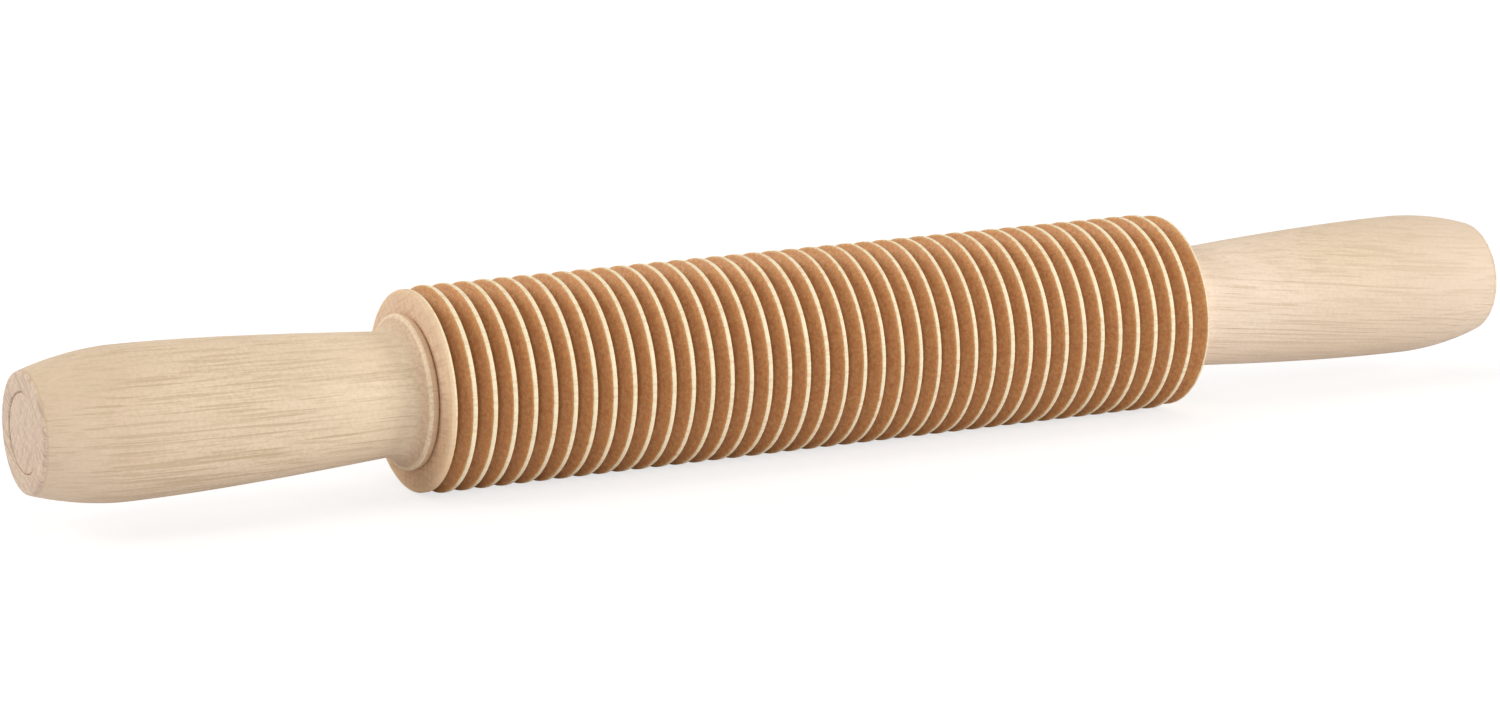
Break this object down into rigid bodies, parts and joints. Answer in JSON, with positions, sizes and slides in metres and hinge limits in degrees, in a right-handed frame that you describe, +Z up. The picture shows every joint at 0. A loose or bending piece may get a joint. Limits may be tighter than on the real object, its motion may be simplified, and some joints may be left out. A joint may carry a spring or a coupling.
{
  "type": "pasta cutter rolling pin",
  "caption": "Wooden pasta cutter rolling pin: a roller with sharp-edged ridges spins on a dowel axle between two turned grips.",
  "frame": {"origin": "on the axle's axis, in the middle of the roller and of the whole pin", "axes": "+X along the axle from the left handle to the right handle, +Z up; the pin lies on its roller at z = -0.01975"},
  "size_m": [0.32, 0.0396, 0.0396],
  "materials": {
    "end_grain_beech": "sanded, unvarnished end grain",
    "pale_beech": "sanded, unvarnished",
    "cut_beech": "turned grooves with pale sanded crests"
  },
  "bodies": {
    "handles": {"axle": "end_grain_beech", "left_handle": "pale_beech", "right_handle": "pale_beech"},
    "roller": {"roller": "cut_beech"}
  },
  "joints": [
    {"name": "roller_spin", "type": "hinge", "parent": "handles", "child": "roller", "pos_m": [0, 0, 0], "axis": [1, 0, 0], "continuous": true}
  ]
}
